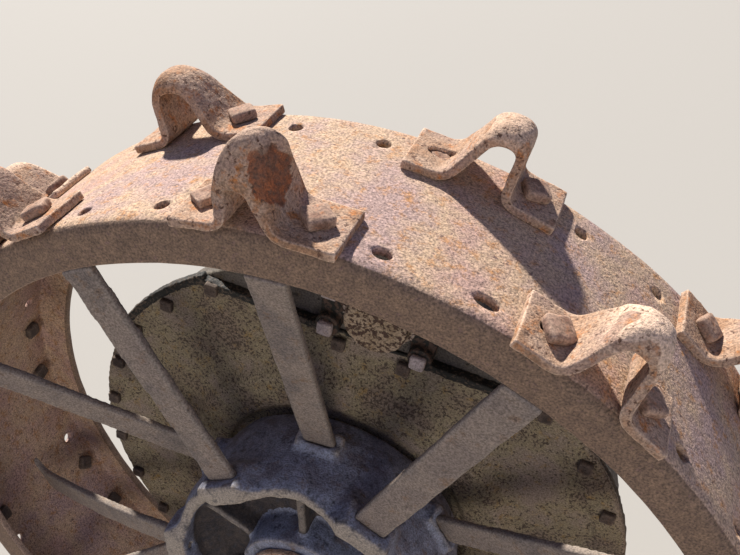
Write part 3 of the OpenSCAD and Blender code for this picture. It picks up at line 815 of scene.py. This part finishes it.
# A head or nut sinks this far into what it stands on, so that no gap shows
SEAT = 0.5 * MM
# The cuts of a head and of a nut
HEAD_CUTS, NUT_CUTS = (7, 7, 4), (5, 5, 3)
# What is left of a head: its width, its height and the smoothing rounds
SQUARE = (1.0, 0.8, 2)
KNOB = (1.2, 1.2, 6)
SUNKEN = (0.8, 0.5, 4)
# Left and right head of each lug that shows; on the others they take turns
HEADS = {"lug_1": (SQUARE, KNOB), "lug_2": (SUNKEN, KNOB), "lug_3": (KNOB, KNOB),
         "lug_4": (KNOB, SUNKEN), "lug_22": (SQUARE, KNOB)}
# One bolt stands off the middle of its long worn hole
OFF_CENTRE = {("lug_1", -1): -8 * MM}


def worn_block(bm, place, size, cuts, rounds):
    """Adds a block with worn edges that stands on a place."""
    part = bmesh.new()
    fine_block(part, cuts)
    part.transform(place @ Matrix.Translation((0, 0, size[2] / 2)) @ Matrix.Diagonal((*size, 1)))
    smooth(part, part.verts, rounds)
    mesh = bpy.data.meshes.new("part")
    part.to_mesh(mesh)
    part.free()
    bm.from_mesh(mesh)
    bpy.data.meshes.remove(mesh)


print("lugs with heads of their own:", len(HEADS))

# %% Heads and nuts on every lug
heads = bmesh.new()
nuts = bmesh.new()
inward = Matrix.Rotation(math.pi, 4, "X")
for i, name in enumerate(lug_names):
    row = row_of(i)
    for side, kind in zip((-1, 1), HEADS.get(name, (SQUARE, KNOB if i % 3 else SQUARE))):
        wide, high, rounds = kind
        angle = bolt_angle(i, side) + math.degrees(OFF_CENTRE.get((name, side), 0) / rim_r)
        # Noise turns each head by its own amount, up to 3 radians either way
        spun = Matrix.Rotation(noise.noise(Vector((i, side, 0.5))) * 3, 4, "Z")
        foot = rim_r + (LUG_T / 4 if kind is SUNKEN else LUG_T) - SEAT
        worn_block(heads, on_wheel(angle, foot, row) @ spun,
                   (wide * HEAD_W, wide * HEAD_W, high * HEAD_H), HEAD_CUTS, rounds)
        worn_block(nuts, on_wheel(angle, rim_r - BAND_T + SEAT, row) @ inward @ spun,
                   (HEAD_W, HEAD_W, HEAD_H), NUT_CUTS, 4)
wear(heads, size_mm=7, depth_mm=0.7, rounds=0, face_mm=3)
wear(nuts, size_mm=7, depth_mm=0.7, rounds=0, face_mm=3)
bolts = finished("lug_bolts", heads, head_rust, "lug", "wheel")
finished("lug_nuts", nuts, nut_rust, "nut", "wheel")
print("lug bolt faces:", len(bolts.data.polygons))

# %% [markdown]
# ## Case bolts
# The cover is held by a ring of small bolts round its edge and two under the cap.
# The pinion cap has four larger ones with pale wiped ends. They are made like the
# heads on the lugs, but stand on the case, so each frame is turned to face outboard.

# %% Bolts of the cover
# The ring of bolts: its radius, the angle of the first bolt, the step and the number
RING_R, RING_FROM, RING_STEP, RING_BOLTS = 322 * MM, 35, 13.18, 23
# The two under the cap: how far from the middle line, and how far below the ledge
PAIR_X, PAIR_Z = 36 * MM, 11 * MM
facing = Matrix.Rotation(math.pi / 2, 4, "X")
ring_bolts = bmesh.new()
for k in range(RING_BOLTS):
    turned = math.radians(RING_FROM + k * RING_STEP)
    place = on_case(RING_R * math.sin(turned), RING_R * math.cos(turned), COVER_FRONT + SEAT)
    worn_block(ring_bolts, place @ facing, (15 * MM, 15 * MM, 8 * MM), (4, 4, 2), 2)
for side in (-1, 1):
    place = on_case(side * PAIR_X, CHORD - PAIR_Z, COVER_FRONT + SEAT)
    worn_block(ring_bolts, place @ facing, (15 * MM, 15 * MM, 9 * MM), (4, 4, 2), 2)
wear(ring_bolts, size_mm=7, depth_mm=0.5, rounds=0, face_mm=3)
finished("cover_bolts", ring_bolts, nut_rust, "case_cover", "case")
print("cover bolts:", RING_BOLTS + 2)

# %% Bolts of the pinion cap
# The ears that carry the bolts stand this far across and along from the pinion's axis
EAR_X, EAR_Z, EAR_H = 50 * MM, 25 * MM, 20 * MM
# How far inboard the cap's flange lies on the case
CAP_SEAT = 150 * MM
cap_bolts = bmesh.new()
for x in (-EAR_X, EAR_X):
    for z in (-EAR_Z, EAR_Z):
        place = on_case(x, gear_gap + z, CAP_SEAT - EAR_H + SEAT)
        worn_block(cap_bolts, place @ facing, (17 * MM, 17 * MM, 9 * MM), (6, 6, 3), 6)
wear(cap_bolts, size_mm=7, depth_mm=0.4, rounds=0, face_mm=3)
finished("cap_bolts", cap_bolts, pale_bolt, "pinion_cap", "case")
print("cap bolts:", 4)

# %% [markdown]
# A black crust along the ledge on top of the cover stands for oil and dust, and partly
# for painted shade there. It runs on both sides of the cap and a little way round the
# left corner. A chain of short lumps that overlap, worn by strong noise, gives the
# broken edge that it has.

# %% Crust and painted shade on the ledge
LUMP, LUMP_CUTS = (24 * MM, 12 * MM, 9 * MM), (9, 5, 3)
# A lump starts this far below the ledge, with its middle as far behind the cover's front
LUMP_SUNK = 4 * MM
# Round the corner: the number of lumps, the step in degrees, and the radius they follow
ROUND_LUMPS, ROUND_STEP, ROUND_R = 9, 3, CASE_R - 1 * MM
corner = math.degrees(math.acos(CHORD / CASE_R))
# Each lump as its place across and along the case, and its turn
lumps = [(u * MM, CHORD, 0) for u in (*range(-196, -60, 16), *range(66, 140, 16))]
for k in range(ROUND_LUMPS):
    turned = math.radians(-corner - ROUND_STEP * k)
    lumps.append((ROUND_R * math.sin(turned), ROUND_R * math.cos(turned), turned))
crust_and_shade = bmesh.new()
for across, along, turned in lumps:
    place = on_case(across, along - LUMP_SUNK, COVER_FRONT + LUMP_SUNK)
    worn_block(crust_and_shade, place @ Matrix.Rotation(turned, 4, "Y"), LUMP, LUMP_CUTS, 2)
wear(crust_and_shade, size_mm=6, depth_mm=1.5, rounds=0, face_mm=3)
worn = crust_and_shade.verts.layers.float["worn"]
second = crust_and_shade.verts.layers.float["second"]
# The whole crust takes the black second surface, which is partly painted shade
for v in crust_and_shade.verts:
    v[worn] = 0
    v[second] = 1
finished("ledge_crust_and_shade", crust_and_shade, cover_iron, "case_cover", "case")
print("lumps in the crust:", len(lumps))

# %% [markdown]
# ## Floor, lamps and camera
# The floor is plain and pale, and lies just under the lowest lug. A sun lamp shines
# from the left and from behind, and lights the near and the far floor alike. The
# world fills the shade with dim blue light, and a warm square lamp in front keeps
# the near side from going dark. The camera and shiny metal see a pale grey backdrop
# in place of the blue.

# %% Floor
# Wide enough, in metres, to fill what the camera sees
FLOOR_WIDE = 14
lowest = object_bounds()[0].z
bpy.ops.mesh.primitive_plane_add(size=FLOOR_WIDE, location=(0, 0, lowest - 1 * MM))
floor = bpy.context.object
floor.name = "floor"
pale = bpy.data.materials.new("pale_floor")
pale.use_nodes = True
pale.node_tree.nodes["Principled BSDF"].inputs["Base Color"].default_value = linear("9c9890")
pale.node_tree.nodes["Principled BSDF"].inputs["Roughness"].default_value = 0.9
floor.data.materials.append(pale)
print("floor below the hub's axis in mm:", round((hub_axis.z - floor.location.z) / MM))

# %% World
world = bpy.data.worlds.new("studio")
bpy.context.scene.world = world
world.use_nodes = True
fill = world.node_tree.nodes["Background"]
fill.inputs["Color"].default_value = (0.42, 0.52, 1.0, 1)
fill.inputs["Strength"].default_value = 0.36
backdrop = add(world, "ShaderNodeBackground", {"Color": linear("c4c2be")})
rays = add(world, "ShaderNodeLightPath").outputs
seen = add(world, "ShaderNodeMath", {"operation": "MAXIMUM"},
           {0: rays["Is Camera Ray"], 1: rays["Is Glossy Ray"]}).outputs[0]
seen = add(world, "ShaderNodeMath", {"operation": "MAXIMUM"},
           {0: seen, 1: rays["Is Transmission Ray"]}).outputs[0]
both = add(world, "ShaderNodeMixShader", None,
           {0: seen, 1: fill.outputs[0], 2: backdrop.outputs[0]})
surface = world.node_tree.nodes["World Output"].inputs["Surface"]
world.node_tree.links.new(both.outputs[0], surface)
print("nodes of the world:", len(world.node_tree.nodes))

# %% Lamps
# How far from the hub the lamps stand, in metres. A sun is equally bright at any distance.
LAMP_AWAY = 6.0


def lamp(name, kind, direction, size, power, colour):
    """Shines a sun of this width in radians, or a square of this width in metres, on the wheel."""
    light = bpy.data.lights.new(name, kind)
    if kind == "SUN":
        light.angle = size
    else:
        light.size = size
    light.energy = power
    light.color = colour
    item = bpy.data.objects.new(name, light)
    bpy.context.scene.collection.objects.link(item)
    back = Vector(direction).normalized()
    item.location = hub_axis + back * LAMP_AWAY
    item.rotation_mode = "QUATERNION"
    item.rotation_quaternion = (-back).to_track_quat("-Z", "Y")


lamp("sun_side", "SUN", (-0.60, 0.76, 0.80), 0.05, 9.0, (1.0, 0.96, 0.90))
lamp("front_fill", "AREA", (0.35, -0.93, 0.24), 2.0, 108, (1.0, 0.94, 0.86))
print("lamps:", len(bpy.data.lights))

# %% [markdown]
# The camera stands where the photo's did. Its place, its direction and its lens were
# found from the edges of the rim, which are circles on the real wheel, and so the
# place is given in rim radii from the hub. The view transform is plain sRGB, so that
# a colour in the render can be compared with the same colour in the photo.

# %% Camera at the photo's angle
# The focal length and the photo's width in pixels
FOCAL_PX, PHOTO_W = 820.94, 740
cam_data = bpy.data.cameras.new("camera")
cam_data.sensor_width = 36
cam_data.lens = FOCAL_PX * cam_data.sensor_width / PHOTO_W
cam = bpy.data.objects.new("camera", cam_data)
bpy.context.scene.collection.objects.link(cam)
cam.location = hub_axis + rim_r * Vector((0.532, -0.907, 1.730))
forward = Vector((-0.28174, 0.73599, -0.61558)).normalized()
right = Vector((0.934, 0.3575, 0)).normalized()
up = right.cross(forward)
cam.rotation_mode = "QUATERNION"
cam.rotation_quaternion = Matrix((right, up, -forward)).transposed().to_quaternion()
bpy.context.scene.camera = cam
bpy.context.scene.view_settings.view_transform = "Standard"
print("lens in mm:", round(cam_data.lens, 1))
